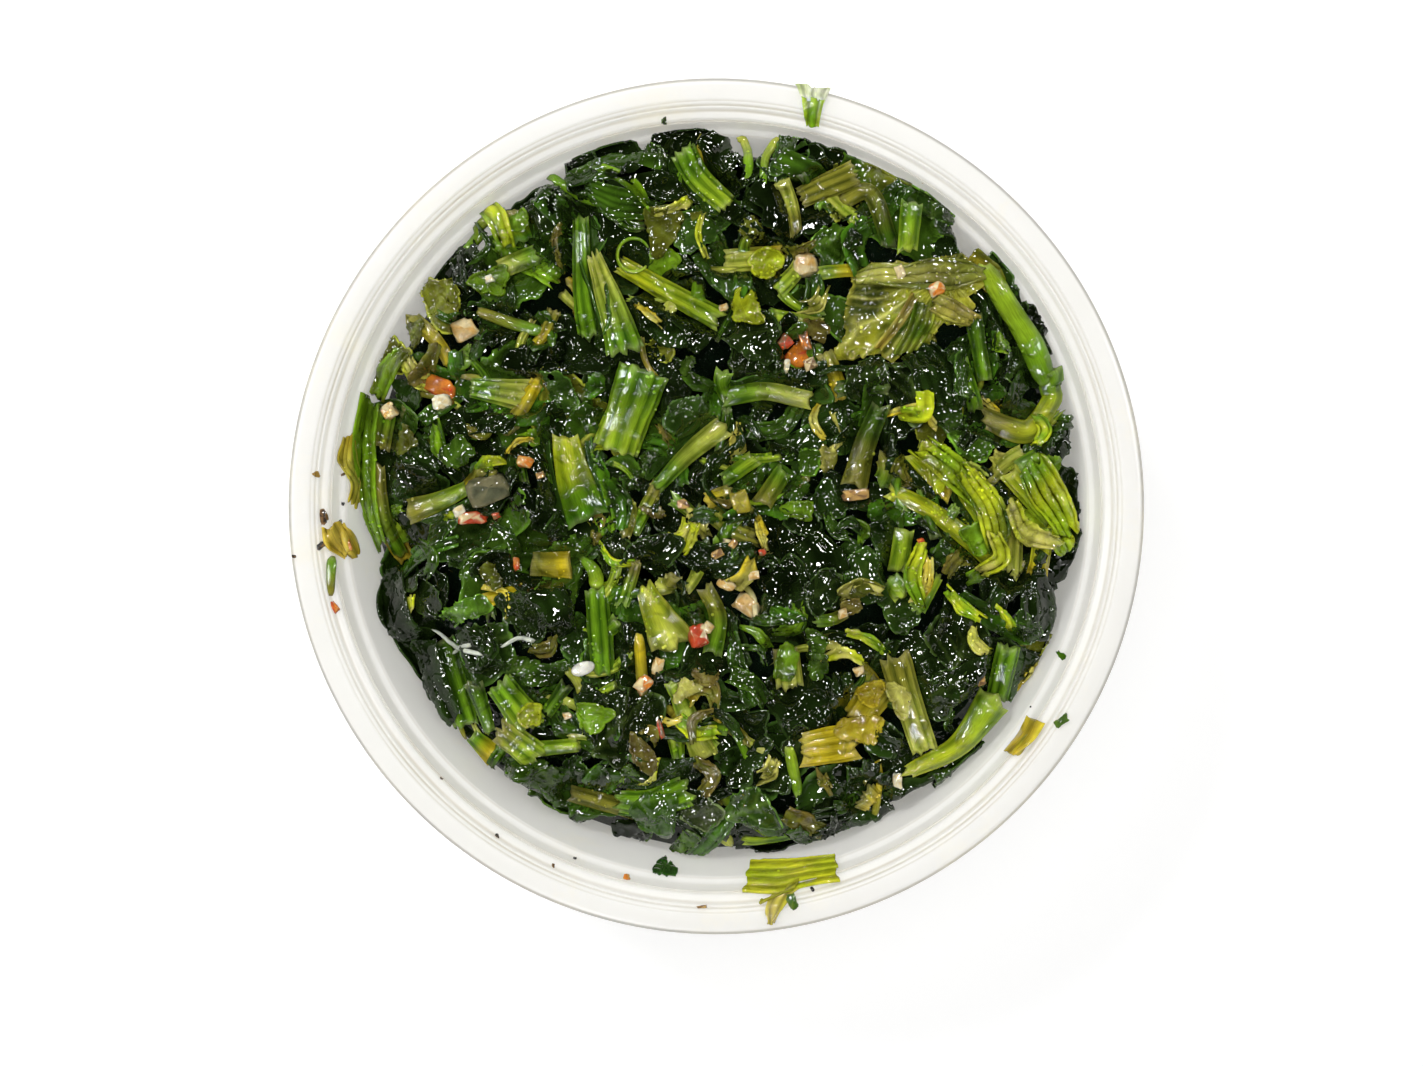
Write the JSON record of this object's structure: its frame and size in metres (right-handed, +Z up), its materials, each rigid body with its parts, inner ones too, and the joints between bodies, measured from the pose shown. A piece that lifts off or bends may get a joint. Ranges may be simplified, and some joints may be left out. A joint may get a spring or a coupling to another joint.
{
  "type": "tub of chopped cooked spinach",
  "caption": "Round plastic deli tub with a rolled rim, filled with chopped cooked spinach: dark glossy leaf pieces, pale ribbed stalks and bits of garlic and chilli.",
  "frame": {"origin": "centre of the tub's foot, on the surface that it stands on", "axes": "+Z up along the tub's axis, towards the open mouth; +Y towards the side where the filling stands highest; +X to the right of that, seen from above"},
  "size_m": [0.117, 0.117, 0.045],
  "materials": {
    "tub_plastic": "satin",
    "leaf_dark": "gloss",
    "stalk_green": "gloss",
    "stalk_dark": "gloss",
    "stalk_pale": "gloss",
    "leaf_yellow": "gloss",
    "garlic": "satin",
    "chilli": "gloss",
    "mushroom": "satin"
  },
  "bodies": {
    "root": {"tub": "tub_plastic", "leaf_chops": "leaf_dark", "stalk_centre_ribbed": "stalk_green", "stalk_fan": "stalk_pale", "stalk_long_west": "stalk_green", "stalk_slant": "stalk_pale", "stalk_northwest_a": "stalk_green", "stalk_northwest_b": "stalk_green", "stalk_thin_west": "stalk_pale", "stalk_fan_west": "stalk_pale", "stalk_west_upper": "stalk_green", "stalk_west_lower": "stalk_green", "stalk_sheath_west": "stalk_pale", "fold_west": "stalk_green", "stalk_dark_pair": "stalk_dark", "stalk_flare": "stalk_pale", "stalk_thin_centre": "stalk_pale", "fold_southwest": "stalk_green", "stalk_southwest_a": "stalk_green", "stalk_southwest_b": "stalk_green", "stalk_dark_southwest": "stalk_dark", "tip_southwest": "leaf_yellow", "fold_south": "stalk_green", "stalk_south_olive": "stalk_pale", "stalk_centre_light": "stalk_pale", "stalk_centre_curved": "stalk_pale", "stalk_forked": "stalk_pale", "stalk_round_a": "stalk_green", "stalk_pale_short": "stalk_pale", "leaf_yellow_east": "leaf_yellow", "stalk_yellow_long": "leaf_yellow", "fold_east_ribbed": "stalk_pale", "stalk_east_upright": "stalk_pale", "stalk_green_short_a": "stalk_green", "stalk_pale_ribbed": "stalk_pale", "stalk_centre_bowed": "stalk_pale", "leaf_yellow_south": "leaf_yellow", "leaf_yellow_ribbed": "leaf_yellow", "stalk_glassy": "stalk_pale", "stalk_fat_bowed": "stalk_green", "stalk_southeast": "stalk_green", "stalk_north_long": "stalk_green", "stalk_north_ribbed": "stalk_pale", "stalk_north_loop": "stalk_pale", "stalk_north_short": "stalk_green", "leaf_yellow_north": "leaf_yellow", "stalk_east_bowed": "stalk_green", "stalk_east_dark": "stalk_dark", "stalk_east_looped": "stalk_pale", "block_centre_west": "leaf_yellow", "leaf_frilly_east": "stalk_pale", "bulb_south": "leaf_yellow", "garlic_northwest": "garlic", "garlic_centre": "garlic", "garlic_northeast": "garlic", "chilli_west": "chilli", "chilli_centre": "chilli", "mushroom_slice": "mushroom", "leaf_pale_large": "stalk_pale", "leaf_on_ledge": "stalk_green"}
  },
  "joints": []
}
